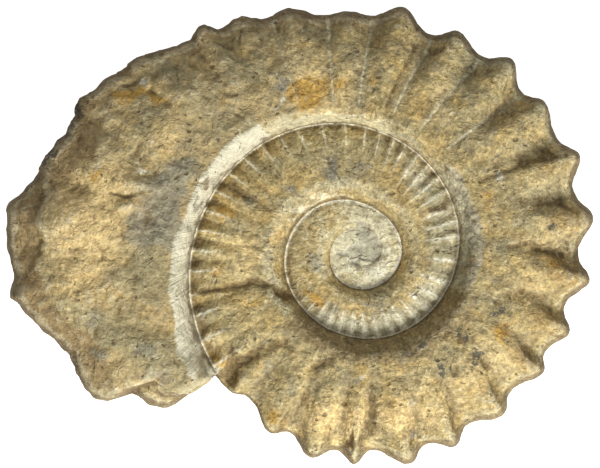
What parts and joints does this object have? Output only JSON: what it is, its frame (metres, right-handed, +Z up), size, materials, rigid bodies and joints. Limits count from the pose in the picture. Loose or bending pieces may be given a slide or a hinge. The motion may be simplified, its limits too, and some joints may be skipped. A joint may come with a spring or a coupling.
{
  "type": "ammonite fossil",
  "caption": "Coiled ammonite fossil with toothed ribs and a broken, matrix-filled body chamber, lying on its side as a display or collection piece.",
  "frame": {"origin": "under the middle of the fossil's box, on the side it rests on", "axes": "+Z up, out of the side that shows; +X across the coil away from the body chamber; +Y across the coil, so that the coil grows anticlockwise seen from +Z"},
  "size_m": [0.3612, 0.282, 0.0771],
  "materials": {
    "limestone": "rough, matt"
  },
  "bodies": {
    "root": {"ammonite": "limestone"}
  },
  "joints": []
}
